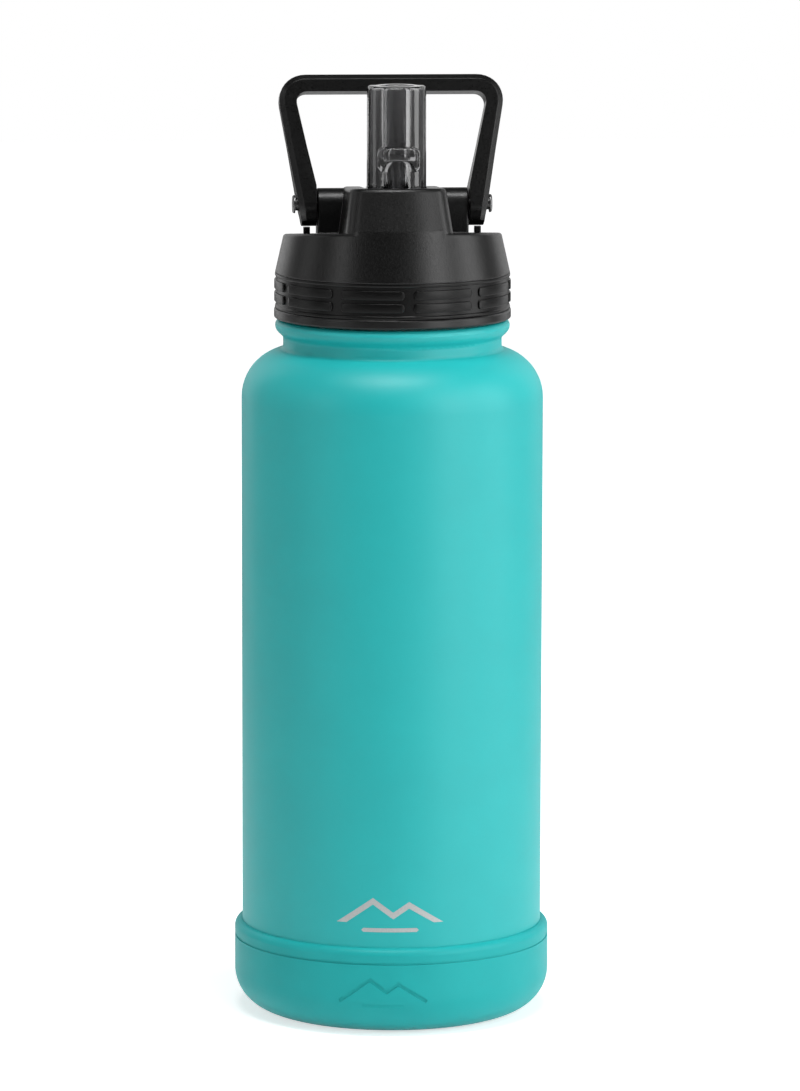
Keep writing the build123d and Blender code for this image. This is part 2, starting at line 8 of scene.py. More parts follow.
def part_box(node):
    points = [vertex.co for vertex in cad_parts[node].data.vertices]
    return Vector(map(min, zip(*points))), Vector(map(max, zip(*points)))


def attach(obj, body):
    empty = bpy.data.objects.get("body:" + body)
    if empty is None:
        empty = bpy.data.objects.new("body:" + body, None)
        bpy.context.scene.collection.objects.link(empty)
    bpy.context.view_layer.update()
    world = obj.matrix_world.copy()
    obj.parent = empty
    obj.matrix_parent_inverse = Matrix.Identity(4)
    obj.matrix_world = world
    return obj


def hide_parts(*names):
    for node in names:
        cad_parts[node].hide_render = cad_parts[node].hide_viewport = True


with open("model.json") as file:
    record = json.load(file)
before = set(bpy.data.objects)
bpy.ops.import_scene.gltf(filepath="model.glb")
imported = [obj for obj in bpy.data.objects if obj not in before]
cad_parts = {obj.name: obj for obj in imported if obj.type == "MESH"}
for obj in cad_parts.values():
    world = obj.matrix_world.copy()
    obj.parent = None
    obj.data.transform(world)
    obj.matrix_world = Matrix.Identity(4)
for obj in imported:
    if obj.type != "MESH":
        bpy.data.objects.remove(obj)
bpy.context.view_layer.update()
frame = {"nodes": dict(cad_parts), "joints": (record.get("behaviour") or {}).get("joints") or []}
mm = 0.001


# small helpers

def hexColor(text):   # sRGB hex to linear RGBA
    parts = [int(text[i:i + 2], 16) / 255 for i in (1, 3, 5)]
    return tuple(p / 12.92 if p <= 0.04045 else ((p + 0.055) / 1.055) ** 2.4 for p in parts) + (1.0,)


def node(tree, kind, values=None, links=None, **settings):
    made = tree.nodes.new(kind)
    for key, value in settings.items():
        setattr(made, key, value)
    for key, value in (values or {}).items():
        made.inputs[key].default_value = value
    for key, source in (links or {}).items():
        tree.links.new(source, made.inputs[key])
    return made


def newMaterial(name, values):
    made = bpy.data.materials.new(name)
    made.use_nodes = True
    shader = made.node_tree.nodes["Principled BSDF"]
    for key, value in values.items():
        shader.inputs[key].default_value = value
    return made, made.node_tree, shader


def outline(name, points):   # a closed flat outline with its face, points in mm
    if bpy.context.mode != "OBJECT":
        bpy.ops.object.mode_set(mode="OBJECT")
    bpy.ops.object.select_all(action="DESELECT")
    bpy.ops.mesh.primitive_plane_add(size=mm)
    piece = bpy.context.object
    piece.name = piece.data.name = name
    bpy.ops.object.mode_set(mode="EDIT")
    bpy.ops.mesh.select_mode(type="VERT")
    bpy.ops.mesh.select_all(action="SELECT")
    bpy.ops.mesh.merge(type="CENTER")
    bpy.ops.transform.translate(value=Vector(points[0]) * mm)
    for before, after in zip(points, points[1:]):
        step = (Vector(after) - Vector(before)) * mm
        bpy.ops.mesh.extrude_vertices_move(TRANSFORM_OT_translate={"value": step})
    bpy.ops.mesh.select_all(action="SELECT")
    bpy.ops.mesh.edge_face_add()
    return piece


def pick(piece, kind, test):   # selects what passes the test, in edit mode
    bpy.ops.mesh.select_mode(type=kind)
    bpy.ops.mesh.select_all(action="DESELECT")
    shape = bmesh.from_edit_mesh(piece.data)
    for part in {"VERT": shape.verts, "EDGE": shape.edges, "FACE": shape.faces}[kind]:
        if test(part):
            part.select_set(True)
    shape.select_flush_mode()
    bmesh.update_edit_mesh(piece.data)


def middle(edge):   # an edge's middle, in mm
    return (edge.verts[0].co + edge.verts[1].co) / 2 / mm


def extrudeBy(offset):   # the selected face, out by an offset in mm
    bpy.ops.mesh.extrude_region_move(TRANSFORM_OT_translate={"value": Vector(offset) * mm})


def closeShape():   # merges doubles and turns every face outwards
    bpy.ops.mesh.select_mode(type="VERT")
    bpy.ops.mesh.select_all(action="SELECT")
    bpy.ops.mesh.remove_doubles(threshold=0.004 * mm)
    bpy.ops.mesh.delete_loose()
    bpy.ops.mesh.select_all(action="SELECT")
    bpy.ops.mesh.normals_make_consistent(inside=False)
    bpy.ops.object.mode_set(mode="OBJECT")


def lathe(name, profile, steps):   # points are (radius, height) in mm
    piece = outline(name, [(r, 0, z) for r, z in profile])
    bpy.ops.mesh.delete(type="ONLY_FACE")
    bpy.ops.mesh.select_all(action="SELECT")
    bpy.ops.mesh.spin(steps=steps, angle=2 * pi, center=(0, 0, 0), axis=(0, 0, 1))
    closeShape()
    return piece


def applyModifier(piece, kind, **settings):
    bpy.ops.object.select_all(action="DESELECT")
    piece.select_set(True)
    bpy.context.view_layer.objects.active = piece
    made = piece.modifiers.new(kind.lower(), kind)
    for key, value in settings.items():
        setattr(made, key, value)
    bpy.ops.object.modifier_apply(modifier=made.name)


def cut(piece, tool, operation):   # boolean, and the tool goes
    applyModifier(piece, "BOOLEAN", object=tool, operation=operation, solver="EXACT")
    bpy.data.objects.remove(tool)


def smooth(piece, degrees):
    bpy.ops.object.select_all(action="DESELECT")
    piece.select_set(True)
    bpy.context.view_layer.objects.active = piece
    bpy.ops.object.shade_smooth_by_angle(angle=radians(degrees))


# camera, floor and light

cameraValues = {
    "lens": 204.6,        # mm, on a 36 mm high frame
    "distance": 1836.8,   # mm from the bottle's axis, along the floor
    "height": 421.3,
    "lookDown": 8.7,      # degrees
    "turn": -4.6,         # degrees from the lid's front
    "roll": 0.125,
    "aside": 2.4,
}


def makeCamera(v):
    turn = radians(v["turn"])
    spot = Vector((sin(turn), -cos(turn), 0)) * v["distance"]
    spot += Vector((cos(turn), sin(turn), 0)) * v["aside"]
    spot.z = v["height"]
    camera = bpy.data.cameras.new("camera")
    camera.lens = v["lens"]
    camera.sensor_width = 36
    camera.clip_start = 0.05
    holder = bpy.data.objects.new("camera", camera)
    holder.location = spot * mm
    look = Matrix.Rotation(turn, 3, "Z") @ Matrix.Rotation(radians(90 - v["lookDown"]), 3, "X")
    holder.rotation_euler = (look @ Matrix.Rotation(radians(v["roll"]), 3, "Z")).to_euler()
    bpy.context.scene.collection.objects.link(holder)
    bpy.context.scene.camera = holder


makeCamera(cameraValues)
print("camera placed")

lightValues = {
    # name: (degrees round from the camera, height, distance, width, tall, level on a face towards it)
    "backLeft": (-140, 0.40, 1.1, 0.50, 1.20, 0.18),
    "sideLeft": (-95, 0.40, 1.1, 0.30, 1.20, 0.09),
    "frontLeft": (-54, 0.55, 1.3, 0.25, 0.90, 0.11),
    "keyRight": (46, 0.45, 1.2, 0.40, 1.20, 0.45),
    "sideRight": (84, 0.40, 1.1, 0.45, 1.20, 0.45),
    "backRight": (140, 0.40, 1.1, 0.40, 1.20, 0.13),
    "overhead": (0, 1.30, 0.35, 0.60, 0.30, 0.55),
}


def makeLights(lights, turn):
    for name, (around, height, away, width, tall, level) in lights.items():
        lamp = bpy.data.lights.new(name, "AREA")
        lamp.shape = "RECTANGLE"
        lamp.size = width
        lamp.size_y = tall
        holder = bpy.data.objects.new(name, lamp)
        angle = radians(turn + around)
        holder.location = (sin(angle) * away, -cos(angle) * away, height)
        aim = Vector((0, 0, 0.15)) - holder.location
        lamp.energy = level * pi ** 2 * aim.length ** 2
        holder.rotation_euler = aim.to_track_quat("-Z", "Y").to_euler()
        holder.visible_transmission = False   # the clear spout shows the wall, not the lamps
        bpy.context.scene.collection.objects.link(holder)


makeLights(lightValues, cameraValues["turn"])

worldValues = {"fill": 0.05, "dim": 0.05, "wall": 1.0, "glossReach": (0.80, 1.0), "clearReach": (0.3, 0.6)}


def makeWorld(v, turn):   # a white wall behind the bottle, seen in gloss and through clear plastic
    world = bpy.data.worlds.new("studio")
    bpy.context.scene.world = world
    world.use_nodes = True
    tree = world.node_tree
    tree.nodes.clear()
    path = node(tree, "ShaderNodeLightPath")
    ray = node(tree, "ShaderNodeTexCoord")
    behind = node(tree, "ShaderNodeVectorMath", {1: (-sin(radians(turn)), cos(radians(turn)), 0)},
                  {0: ray.outputs["Generated"]}, operation="DOT_PRODUCT")
    sides = []
    for low, high in (v["glossReach"], v["clearReach"]):
        wall = node(tree, "ShaderNodeMapRange", {"From Min": low, "From Max": high, "To Min": v["dim"],
                                                 "To Max": v["wall"]},
                    {"Value": behind.outputs["Value"]}, interpolation_type="SMOOTHSTEP")
        sides.append(node(tree, "ShaderNodeBackground", {"Color": hexColor("#FFFFFF")},
                          {"Strength": wall.outputs[0]}))
    fill = node(tree, "ShaderNodeBackground", {"Color": hexColor("#FFFFFF"), "Strength": v["fill"]})
    plain = node(tree, "ShaderNodeBackground", {"Color": hexColor("#FFFFFF"), "Strength": 1.0})
    gloss = node(tree, "ShaderNodeMixShader",
                 links={0: path.outputs["Is Glossy Ray"], 1: fill.outputs[0], 2: sides[0].outputs[0]})
    clear = node(tree, "ShaderNodeMixShader",
                 links={0: path.outputs["Is Transmission Ray"], 1: gloss.outputs[0], 2: sides[1].outputs[0]})
    mix = node(tree, "ShaderNodeMixShader",
               links={0: path.outputs["Is Camera Ray"], 1: clear.outputs[0], 2: plain.outputs[0]})
    node(tree, "ShaderNodeOutputWorld", links={"Surface": mix.outputs[0]})


makeWorld(worldValues, cameraValues["turn"])

floorValues = {"near": 0.62, "far": 1.0, "reach": (0.05, 0.16), "gloss": (0.25, 0.70)}   # glow, and metres out


def makeFloor(v):   # glows for rays that see it, and lights nothing
    bpy.ops.object.select_all(action="DESELECT")
    bpy.ops.mesh.primitive_plane_add(size=6)
    floor = bpy.context.object
    floor.name = "floor"
    material, tree, shader = newMaterial("paleFloor", {
        "Base Color": hexColor("#EDEDED"), "Roughness": 0.9, "Specular IOR Level": 0.0})
    path = node(tree, "ShaderNodeLightPath")
    place = node(tree, "ShaderNodeTexCoord")
    away = node(tree, "ShaderNodeVectorMath", links={0: place.outputs["Object"]}, operation="LENGTH")
    # for camera and clear rays the glow is weaker near the bottle's axis: a painted darkening round its foot, laid
    # over the real contact shadow from the lamps
    ramp = node(tree, "ShaderNodeMapRange", {"From Min": v["reach"][0], "From Max": v["reach"][1],
                                             "To Min": v["near"], "To Max": v["far"]},
                {"Value": away.outputs["Value"]}, interpolation_type="SMOOTHSTEP")
    # in gloss the floor glows only near the bottle and fades out further away: a painted pool of light that the
    # bottle reflects
    glossPool = node(tree, "ShaderNodeMapRange", {"From Min": v["gloss"][0], "From Max": v["gloss"][1],
                                              "To Min": v["near"], "To Max": 0.0},
                 {"Value": away.outputs["Value"]}, interpolation_type="SMOOTHSTEP")
    level = node(tree, "ShaderNodeMix", links={0: path.outputs["Is Glossy Ray"], 2: ramp.outputs[0],
                                               3: glossPool.outputs[0]})
    glow = node(tree, "ShaderNodeEmission", {"Color": hexColor("#FFFFFF")}, {"Strength": level.outputs[0]})
    both = node(tree, "ShaderNodeAddShader", links={0: shader.outputs[0], 1: glow.outputs[0]})
    direct = node(tree, "ShaderNodeMath", operation="MAXIMUM",
                  links={0: path.outputs["Is Camera Ray"], 1: path.outputs["Is Transmission Ray"]})
    seen = node(tree, "ShaderNodeMath", operation="MAXIMUM",
                links={0: direct.outputs[0], 1: path.outputs["Is Glossy Ray"]})
    mix = node(tree, "ShaderNodeMixShader", links={0: seen.outputs[0], 1: shader.outputs[0], 2: both.outputs[0]})
    tree.links.new(mix.outputs[0], tree.nodes["Material Output"].inputs["Surface"])
    floor.data.materials.append(material)


makeFloor(floorValues)
bpy.context.scene.view_settings.view_transform = "Standard"
print("stage lit")


# finishes; sizes and depths in mm

def objectPlace(tree):
    return node(tree, "ShaderNodeTexCoord").outputs["Object"]


def noise(tree, place, size, detail, **more):
    values = {"Scale": 1 / (size * mm), "Detail": detail, **more}
    return node(tree, "ShaderNodeTexNoise", values, {"Vector": place}).outputs[0]


def stretched(tree, place, scale):
    return node(tree, "ShaderNodeMapping", {"Scale": scale}, {"Vector": place}).outputs[0]


def tint(tree, v, pattern):   # two near shades, mixed by a pattern
    return node(tree, "ShaderNodeMix", {6: hexColor(v["color"]), 7: hexColor(v["deeper"])},
                {0: pattern}, data_type="RGBA").outputs[2]


def between(tree, pattern, low, high, **reach):   # a pattern, spread from low to high
    values = {"To Min": low, "To Max": high, **reach}
    return node(tree, "ShaderNodeMapRange", values, {"Value": pattern}).outputs[0]


def relief(tree, pattern, strength, deep, under=None, **settings):
    links = {"Height": pattern, "Normal": under} if under else {"Height": pattern}
    return node(tree, "ShaderNodeBump", {"Strength": strength, "Distance": deep * mm}, links, **settings).outputs[0]


def drive(tree, shader, sources):
    for key, source in sources.items():
        tree.links.new(source, shader.inputs[key])


def powderCoat(v):   # baked polyester powder on steel: satin, with a fine orange peel
    made, tree, shader = newMaterial("powderCoat", {"Roughness": v["roughness"], "Specular IOR Level": v["gloss"]})
    place = objectPlace(tree)
    waves = relief(tree, noise(tree, place, v["peel"], 1.0), 0.5, v["peelDeep"])
    drive(tree, shader, {
        "Base Color": tint(tree, v, noise(tree, place, v["cloud"], 2.0)),
        "Normal": relief(tree, noise(tree, place, v["grit"], 2.0), 0.6, v["gritDeep"], waves)})
    return made


def softSilicone(name, v):   # moulded silicone: matt, a little cloudy, with a trace of dust
    made, tree, shader = newMaterial(name, {"Specular IOR Level": v["gloss"]})
    place = objectPlace(tree)
    cloud = noise(tree, place, v["cloud"], 3.0)
    drive(tree, shader, {
        "Base Color": tint(tree, v, cloud),
        "Roughness": between(tree, cloud, v["roughness"] - 0.06, v["roughness"] + 0.08),
        "Normal": relief(tree, noise(tree, place, v["skin"], 2.0), 0.4, v["skinDeep"])})
    return made


def mouldedPlastic(name, v):   # black polypropylene from an etched mould: satin with a sparkling grain
    made, tree, shader = newMaterial(name, {"Specular IOR Level": v["gloss"]})
    place = objectPlace(tree)
    etch = noise(tree, place, v["etch"], 2.0, Roughness=0.65)
    reach = {"From Min": 0.3, "From Max": 0.7}
    soft = node(tree, "ShaderNodeBevel", {"Radius": v["blend"] * mm}, samples=6).outputs[0]   # softened edges
    drive(tree, shader, {
        "Base Color": tint(tree, v, noise(tree, place, v["cloud"], 2.0)),
        "Roughness": between(tree, etch, v["roughness"] - 0.08, v["roughness"] + 0.08, **reach),
        "Normal": relief(tree, etch, v["grain"], v["etchDeep"], soft)})
    return made


def steel(name, v):   # stainless sheet, brushed round the axis: fine rings that stretch each highlight
    made, tree, shader = newMaterial(name, {"Metallic": 1.0})
    line = noise(tree, stretched(tree, objectPlace(tree), v["stretch"]), v["line"], 3.0)
    drive(tree, shader, {
        "Base Color": tint(tree, v, line),
        "Roughness": between(tree, line, v["roughness"] - 0.08, v["roughness"] + 0.08),
        "Normal": relief(tree, line, 0.3, 0.01)})
    return made


def clearPlastic(name, v):   # polished copolyester: glassy, with faint flow lines from the mould
    made, tree, shader = newMaterial(name, {"IOR": v["ior"], "Transmission Weight": 1.0})
    lines = noise(tree, stretched(tree, objectPlace(tree), (1, 1, 0.15)), v["flow"], 2.0)
    drive(tree, shader, {
        "Base Color": tint(tree, v, lines),
        "Roughness": between(tree, lines, v["roughness"], v["roughness"] + 0.03),
        "Normal": relief(tree, lines, 0.25, v["flowDeep"])})
    return made


def beadFoam(v):   # expanded polystyrene: pale beads pressed together
    made, tree, shader = newMaterial("beadFoam", {"Roughness": 0.9})
    bead = node(tree, "ShaderNodeTexVoronoi", {"Scale": 1 / (v["bead"] * mm)}, {"Vector": objectPlace(tree)})
    fromJoint = bead.outputs["Distance"]
    drive(tree, shader, {
        "Base Color": tint(tree, v, fromJoint),
        "Normal": relief(tree, fromJoint, 0.8, v["beadDeep"], invert=True)})
    return made


def screenInk(v):   # silver screen ink: metal flake in a thin clear film
    made, tree, shader = newMaterial("screenInk", {"Metallic": 0.6, "Roughness": 0.45})
    flake = noise(tree, objectPlace(tree), v["flake"], 3.0)
    drive(tree, shader, {"Base Color": tint(tree, v, flake), "Normal": relief(tree, flake, 0.4, 0.01)})
    return made


# grains finer than about 0.4 mm are drawn at 0.4 to 0.6 mm, so that they show
tealCoat = powderCoat({"color": "#1DC5C5", "deeper": "#1CBDBE", "cloud": 18, "peel": 1.6, "peelDeep": 0.03,
                       "grit": 0.45, "gritDeep": 0.02, "roughness": 0.48, "gloss": 0.6})
tealSilicone = softSilicone("tealSilicone", {"color": "#1DBDBD", "deeper": "#1BB3B4", "cloud": 14, "skin": 0.6,
                                             "skinDeep": 0.02, "roughness": 0.5, "gloss": 0.35})
sealSilicone = softSilicone("sealSilicone", {"color": "#E2E2DE", "deeper": "#D2D2CE", "cloud": 6, "skin": 0.5,
                                             "skinDeep": 0.02, "roughness": 0.45, "gloss": 0.4})
blackPlastic = mouldedPlastic("blackPlastic", {"color": "#0B0B0B", "deeper": "#080808", "cloud": 9, "etch": 0.42,
                                               "etchDeep": 0.05, "grain": 0.7, "roughness": 0.36, "gloss": 0.5,
                                               "blend": 0.7})
smoothPlastic = mouldedPlastic("smoothPlastic", {"color": "#0A0A0A", "deeper": "#080808", "cloud": 12, "etch": 0.5,
                                                 "etchDeep": 0.02, "grain": 0.3, "roughness": 0.34, "gloss": 0.45,
                                                 "blend": 0.35})
blackRubber = softSilicone("blackRubber", {"color": "#080808", "deeper": "#050505", "cloud": 7, "skin": 0.45,
                                           "skinDeep": 0.02, "roughness": 0.34, "gloss": 0.3})
brushedSteel = steel("brushedSteel", {"color": "#CFCFCC", "deeper": "#B9B9B7", "line": 0.5, "stretch": (0.1, 0.1, 3),
                                      "roughness": 0.3})
pinSteel = steel("pinSteel", {"color": "#8E8E8E", "deeper": "#767676", "line": 0.3, "stretch": (3, 0.3, 0.3),
                              "roughness": 0.4})
getterMetal = steel("getterMetal", {"color": "#7C7C80", "deeper": "#55555A", "line": 0.3, "stretch": (1, 1, 1),
                                    "roughness": 0.7})
smokePlastic = clearPlastic("smokePlastic", {"color": "#A0A0A1", "deeper": "#979798", "ior": 1.57, "flow": 2.0,
                                             "flowDeep": 0.01, "roughness": 0.0})
strawPlastic = clearPlastic("strawPlastic", {"color": "#E6ECEE", "deeper": "#DDE4E6", "ior": 1.49, "flow": 1.5,
                                             "flowDeep": 0.02, "roughness": 0.12})
foam = beadFoam({"color": "#E9E8E2", "deeper": "#C9C8C0", "bead": 2.2, "beadDeep": 0.3})
silverInk = screenInk({"color": "#C9CCCC", "deeper": "#AEB2B2", "flake": 0.4})

finishes = {
    "outer_shell": tealCoat, "base_cup": tealCoat, "inner_vessel": brushedSteel, "vacuum_plug": brushedSteel,
    "getter": getterMetal, "silicone_boot": tealSilicone, "cap_shell": blackPlastic, "grip_ring": blackRubber,
    "cap_plug": smoothPlastic, "cap_gasket": sealSilicone, "plug_cover": smoothPlastic,
    "straw_grommet": sealSilicone, "straw_socket": smoothPlastic, "straw": strawPlastic,
    "vent_valve": sealSilicone, "lid_insulation": foam, "spout_seal": sealSilicone, "spout": smokePlastic,
    "carry_handle": smoothPlastic, "handle_pin_left": pinSteel, "handle_pin_right": pinSteel,
}
for name, material in finishes.items():
    mesh = frame["nodes"][name].data
    mesh.materials.clear()
    mesh.materials.append(material)
jointPlace = {joint["name"]: joint.get("pos_m") for joint in frame["joints"]}
print("CAD pieces dressed")


# grip ring: a rubber ring with rounded lips and two rows of pills

ringValues = {
    "radius": 34.75, "inside": 33.4, "lipProud": 0.3, "lipTall": 1.0,
    "lipEdge": ((-0.3, 0.0), (-0.08, 0.09), (0.0, 0.32)),   # from the lip's outer corner: (out, in from the end)
    "lipBack": ((0.0, -0.35), (-0.1, -0.1)), "lipFoot": 0.1,
    "pillLong": 19.0, "pillTall": 2.7, "pillProud": 0.5, "pillDeep": 0.5, "pillEdge": 0.22,
    "rowStep": 3.75, "columns": 10, "firstGap": -1.1,   # degrees right of the lid's front
}


def makeGripRing(v):
    low, high = (corner.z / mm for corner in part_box("grip_ring"))
    lip, r, tall = v["radius"] + v["lipProud"], v["radius"], v["lipTall"]
    half = [(v["inside"], low)] + [(lip + x, low + z) for x, z in v["lipEdge"]]
    half += [(lip + x, low + tall + z) for x, z in v["lipBack"]] + [(r, low + tall + v["lipFoot"])]
    ring = lathe("gripRing", half + [(x, low + high - z) for x, z in reversed(half)], 180)
    deep, out, up = r - v["pillDeep"], r + v["pillProud"], v["pillTall"] / 2
    turn, margin = v["pillLong"] / r, 0.02
    pill = outline("pill", [(0, -deep, -up), (0, -out, -up), (0, -out, up), (0, -deep, up)])
    bpy.ops.mesh.spin(steps=22, angle=turn, center=(0, 0, 0), axis=(0, 0, 1))
    closeShape()
    bpy.ops.object.mode_set(mode="EDIT")

    def atEnds(edge):   # the four short edges at the pill's corners
        flat = abs(edge.verts[0].co.z - edge.verts[1].co.z) < 1e-5
        long = edge.calc_length() > 0.8 * (out - deep) * mm
        spot = middle(edge)
        away = abs(Vector((spot.x, spot.y)).angle_signed(Vector((0, -1)), 0.0))
        return flat and long and (away < 0.01 or abs(away - turn) < 0.01)

    pick(pill, "EDGE", atEnds)
    bpy.ops.mesh.bevel(offset=(up - margin) * mm, segments=6, affect="EDGES", clamp_overlap=False)

    def roundFace(edge):   # on the pill's face, next to a side that doesn't face outwards
        outwards = edge.verts[0].co.xy.normalized()
        sides = (face.normal.xy for face in edge.link_faces)
        return (all(vert.co.xy.length > (out - margin) * mm for vert in edge.verts)
                and any(side.length < 0.9 or abs(side.normalized().dot(outwards)) < 0.9 for side in sides))

    pick(pill, "EDGE", roundFace)
    bpy.ops.mesh.bevel(offset=v["pillEdge"] * mm, segments=3, affect="EDGES", clamp_overlap=False)
    closeShape()
    pills = [ring]
    for row in (-0.5, 0.5):
        for column in range(v["columns"]):
            copy = bpy.data.objects.new("pill", pill.data.copy())
            bpy.context.collection.objects.link(copy)
            angle = radians(v["firstGap"] + (column + 0.5) * 360 / v["columns"]) - turn / 2
            place = Matrix.Translation((0, 0, ((low + high) / 2 + row * v["rowStep"]) * mm))
            copy.data.transform(place @ Matrix.Rotation(angle, 4, "Z"))
            pills.append(copy)
    bpy.data.objects.remove(pill)
    bpy.ops.object.select_all(action="DESELECT")
    for piece in pills:
        piece.select_set(True)
    bpy.context.view_layer.objects.active = ring
    bpy.ops.object.join()
    smooth(ring, 40)
    return ring


# drinking spout: a thick clear tube on its drum, with a hooked thumb tab

spoutValues = {
    "topRadius": 8.72, "lowRadius": 8.8, "bore": 3.0, "rim": 1.1, "boreEdge": 0.7,
    "drumWide": 8.9, "drumEdge": 0.3, "trunnionRadius": 2.5, "trunnionLong": 3.0, "trunnionEdge": 0.4,
    "padWide": 12.5, "padTall": 7.4, "padProud": 0.9, "padCorner": 2.0, "padEdge": 0.45, "padFromRim": 17.5,
    "lipWide": 9.6, "lipTall": 3.9, "lipProud": 3.4, "lipCorner": 1.5, "lipEdge": 0.5, "lipDrop": 0.05,
    "scoopWide": 10.6, "scoopTall": 7.8, "scoopDeep": 2.7, "scoopSink": 0.6, "scoopDrop": 0.1,
}


def makeSpout(v):
    axisY, axisZ = (part / mm for part in jointPlace["spout_fold"][1:])
    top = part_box("spout")[1].z / mm
    rim, r = v["rim"], v["topRadius"]
    axis = 0.001   # the lathe's profile ends just short of its axis
    arc = [(r - rim + rim * cos(a), top - rim + rim * sin(a)) for a in (0, pi / 10, pi / 5, 3 * pi / 10, 2 * pi / 5)]
    tube = lathe("spoutPiece", [(axis, axisZ), (v["lowRadius"], axisZ)] + arc + [(r - rim, top), (axis, top)], 128)
    tube.data.transform(Matrix.Translation((0, axisY * mm, 0)))

    def rod(radius, half, edge):   # a round bar along X on the spout's pivot
        bpy.ops.mesh.primitive_cylinder_add(vertices=96, radius=radius * mm, depth=half * 2 * mm,
                                            location=(0, axisY * mm, axisZ * mm), rotation=(0, pi / 2, 0))
        made = bpy.context.object
        bpy.ops.object.transform_apply()
        bpy.ops.object.mode_set(mode="EDIT")
        pick(made, "EDGE", lambda e: abs(abs(middle(e).x) - half) < 0.01)
        bpy.ops.mesh.bevel(offset=edge * mm, segments=3, affect="EDGES")
        bpy.ops.object.mode_set(mode="OBJECT")
        return made

    cut(tube, rod(v["lowRadius"], v["drumWide"], v["drumEdge"]), "UNION")
    cut(tube, rod(v["trunnionRadius"], v["drumWide"] + v["trunnionLong"], v["trunnionEdge"]), "UNION")

    # pad with rounded corners, and the lip drawn out of its upper half
    padTop = top - v["padFromRim"]
    padMiddle = padTop - v["padTall"] / 2
    back, face = axisY - r * 0.55, axisY - r - v["padProud"]
    x, up = v["padWide"] / 2, v["padTall"] / 2
    pad = outline("pad", [(-x, back, padMiddle - up), (x, back, padMiddle - up),
                          (x, back, padMiddle + up), (-x, back, padMiddle + up)])
    extrudeBy((0, face - back, 0))
    closeShape()
    bpy.ops.object.mode_set(mode="EDIT")
    pick(pad, "EDGE", lambda e: abs(e.verts[0].co.y - e.verts[1].co.y) > mm)
    bpy.ops.mesh.bevel(offset=v["padCorner"] * mm, segments=6, affect="EDGES")
    pick(pad, "EDGE", lambda e: abs(middle(e).y - face) < 0.01)
    bpy.ops.mesh.bevel(offset=v["padEdge"] * mm, segments=3, affect="EDGES")
    closeShape()
    lx, out = v["lipWide"] / 2, axisY - r - v["lipProud"]
    lip = outline("lip", [(-lx, back, padTop - v["lipTall"]), (lx, back, padTop - v["lipTall"]),
                          (lx, back, padTop - v["lipDrop"]), (-lx, back, padTop - v["lipDrop"])])
    extrudeBy((0, out - back, 0))
    closeShape()
    bpy.ops.object.mode_set(mode="EDIT")
    pick(lip, "EDGE", lambda e: abs(e.verts[0].co.y - e.verts[1].co.y) > mm and middle(e).z > padTop - 1)
    bpy.ops.mesh.bevel(offset=v["lipCorner"] * mm, segments=5, affect="EDGES")
    pick(lip, "EDGE", lambda e: abs(middle(e).y - out) < 0.01)
    bpy.ops.mesh.bevel(offset=v["lipEdge"] * mm, segments=3, affect="EDGES")
    closeShape()
    cut(pad, lip, "UNION")

    # thumb scoop under the lip
    spot = (0, (face - v["scoopSink"]) * mm, (padTop - v["padTall"] - v["scoopDrop"]) * mm)
    bpy.ops.mesh.primitive_uv_sphere_add(segments=64, ring_count=32, radius=mm, location=spot)
    scoop = bpy.context.object
    scoop.scale = (v["scoopWide"] / 2, v["scoopDeep"], v["scoopTall"] / 2)
    bpy.ops.object.transform_apply()
    cut(pad, scoop, "DIFFERENCE")
    cut(tube, pad, "UNION")

    # the bore, right through
    bpy.ops.mesh.primitive_cylinder_add(vertices=64, radius=v["bore"] * mm, depth=80 * mm,
                                        location=(0, axisY * mm, axisZ * mm))
    drill = bpy.context.object
    bpy.ops.object.transform_apply()
    cut(tube, drill, "DIFFERENCE")
    bpy.ops.object.mode_set(mode="EDIT")
    pick(tube, "EDGE", lambda e: abs(middle(e).z - top) < 0.02
         and (middle(e) - Vector((0, axisY, top))).length < v["bore"] + 0.1)
    bpy.ops.mesh.bevel(offset=v["boreEdge"] * mm, segments=4, affect="EDGES")
    closeShape()
    smooth(tube, 32)
    return tube


# carry handle: a hoop that tapers from round eyes to a thin bar

handleValues = {
    "lean": 12.0, "legIn": 22.8, "legOut": 28.2, "outerSlope": 9.8, "innerSlope": 12.4,
    "straight": 5.0, "top": 38.4, "bar": 5.2, "depth": 7.8, "eye": 6.5,
    "outerCorner": 7.9, "innerCorner": 3.2, "chamfer": 1.5, "hole": 1.98,
}


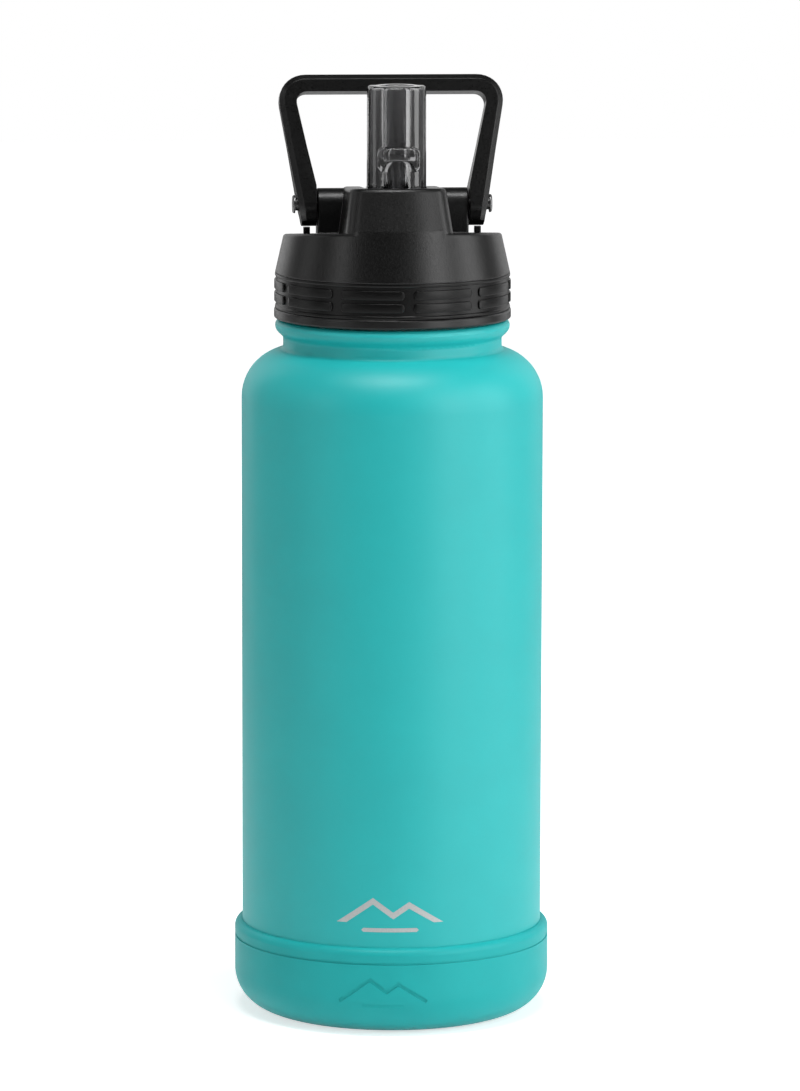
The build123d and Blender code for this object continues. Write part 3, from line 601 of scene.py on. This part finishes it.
def makeHandle(v):
    start = Vector(jointPlace["handle_swing"]) / mm
    lean = radians(v["lean"])
    up, out = Vector((0, sin(lean), cos(lean))), Vector((0, -cos(lean), sin(lean)))
    outer, inner = tan(radians(v["outerSlope"])), tan(radians(v["innerSlope"]))
    under = v["top"] - v["bar"]
    topOut, topIn = v["legOut"] + v["top"] * outer, v["legIn"] + (under - v["straight"]) * inner
    footOut = v["legOut"] - v["eye"] * outer
    window = [(v["legIn"], -v["eye"]), (v["legIn"], v["straight"]), (topIn, under)]
    outside = [(topOut, v["top"]), (footOut, -v["eye"])]
    flat = window + [(-x, z) for x, z in reversed(window)] + [(-x, z) for x, z in reversed(outside)] + outside
    half = 8   # of the hoop's depth before it is cut to its side view
    hoop = outline("handlePiece", [start + Vector((x, 0, 0)) + up * z - out * half for x, z in flat])

    def near(x, z):
        spot = start + up * z - out * half
        return lambda p: abs(abs(p.co.x / mm) - x) < 0.01 and (p.co.yz / mm - spot.yz).length < 0.01

    for x, z, radius, slope in ((topOut, v["top"], v["outerCorner"], v["outerSlope"]),
                                (topIn, under, v["innerCorner"], v["innerSlope"])):
        pick(hoop, "VERT", near(x, z))
        along = radius * tan(radians(90 + slope) / 2)
        bpy.ops.mesh.bevel(offset=along * mm, segments=10, affect="VERTICES")
    bpy.ops.mesh.select_all(action="SELECT")
    extrudeBy(out * half * 2)
    closeShape()

    # the side view: round eyes, then a straight taper
    d, e = v["depth"] / 2, v["eye"]
    side = [(-e * cos(a), e * sin(a)) for a in [radians(t) for t in range(-90, 91, 6)]]
    taper, past = e * 2.6, v["top"] + 2
    side += [(taper, d), (past, d), (past, -d), (taper, -d)]
    wide = Vector((80, 0, 0))
    block = outline("side", [start + up * z + out * w - wide / 2 for z, w in side])
    extrudeBy(wide)
    closeShape()
    cut(hoop, block, "INTERSECT")

    cornerX = topOut - v["outerCorner"] * tan(radians(90 + v["outerSlope"]) / 2)
    cornerZ = v["top"] - v["outerCorner"]

    def onOuterRim(edge):   # sharp edges of the bar, the legs' outer sides and the corners between them
        spot = middle(edge) - start
        x, z, w = abs(spot.x), spot.dot(up), spot.dot(out)
        rim = z > v["top"] - 0.02 or x > v["legOut"] + z * outer - 0.02
        nearArc = sqrt((x - cornerX) ** 2 + (z - cornerZ) ** 2) > v["outerCorner"] - 0.3
        corner = nearArc and z > cornerZ - 1.5 and x > cornerX
        return abs(w) > d - 0.5 and (rim or corner) and edge.calc_face_angle(0) > 0.6 and z > -v["eye"] * 0.8

    bpy.ops.object.mode_set(mode="EDIT")
    pick(hoop, "EDGE", onOuterRim)
    bpy.ops.mesh.bevel(offset=v["chamfer"] * mm, segments=1, affect="EDGES", clamp_overlap=False)
    closeShape()
    bpy.ops.mesh.primitive_cylinder_add(vertices=48, radius=v["hole"] * mm, depth=90 * mm,
                                        location=start * mm, rotation=(0, pi / 2, 0))
    drill = bpy.context.object
    bpy.ops.object.transform_apply()
    cut(hoop, drill, "DIFFERENCE")
    smooth(hoop, 30)
    return hoop


# printed mark: a plain ridge line over a bar

markValues = {
    "wide": 31.5, "turn": -5.0, "height": 36.5, "proud": 0.05,
    # outlines, as (share of half the width, mm up)
    "ridge": ((-1, -2.2), (-0.32, 5.4), (0.06, 1.0), (0.36, 4.2), (1, -2.2),
              (0.82, -2.2), (0.36, 2.2), (0.06, -1.0), (-0.32, 3.4), (-0.82, -2.2)),
    "bar": ((-0.5, -4.9), (0.5, -4.9), (0.54, -4.3), (0.5, -3.7), (-0.5, -3.7), (-0.54, -4.3)),
}


def makeMark(v):
    made = []
    for name, points in (("printedMark", v["ridge"]), ("markBar", v["bar"])):
        piece = outline(name, [(v["wide"] / 2 * x, -60, v["height"] + z) for x, z in points])
        bpy.ops.mesh.quads_convert_to_tris()
        bpy.ops.mesh.subdivide(number_cuts=7)
        bpy.ops.object.mode_set(mode="OBJECT")
        made.append(piece)
    bpy.ops.object.select_all(action="DESELECT")
    for piece in made:
        piece.select_set(True)
    bpy.context.view_layer.objects.active = mark = made[0]
    bpy.ops.object.join()
    applyModifier(mark, "SHRINKWRAP", target=frame["nodes"]["outer_shell"], wrap_method="PROJECT",
                  use_project_y=True, use_positive_direction=True, offset=v["proud"] * mm)
    mark.data.transform(Matrix.Rotation(radians(v["turn"]), 4, "Z"))
    return mark


# the new pieces, each in its CAD piece's place

for piece, body, replaced, slot, material in (
    (makeGripRing(ringValues), "lid", "grip_ring", "black_rubber", blackRubber),
    (makeSpout(spoutValues), "spout", "spout", "smoke_plastic", smokePlastic),
    (makeHandle(handleValues), "handle", "carry_handle", "black_plastic", smoothPlastic),
    (makeMark(markValues), "bottle", None, "bare_steel", silverInk),
):
    piece.data.materials.clear()
    piece.data.materials.append(material)
    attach(piece, body)
    if replaced:
        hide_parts(replaced)
    print(piece.name, "made,", len(piece.data.polygons), "faces")
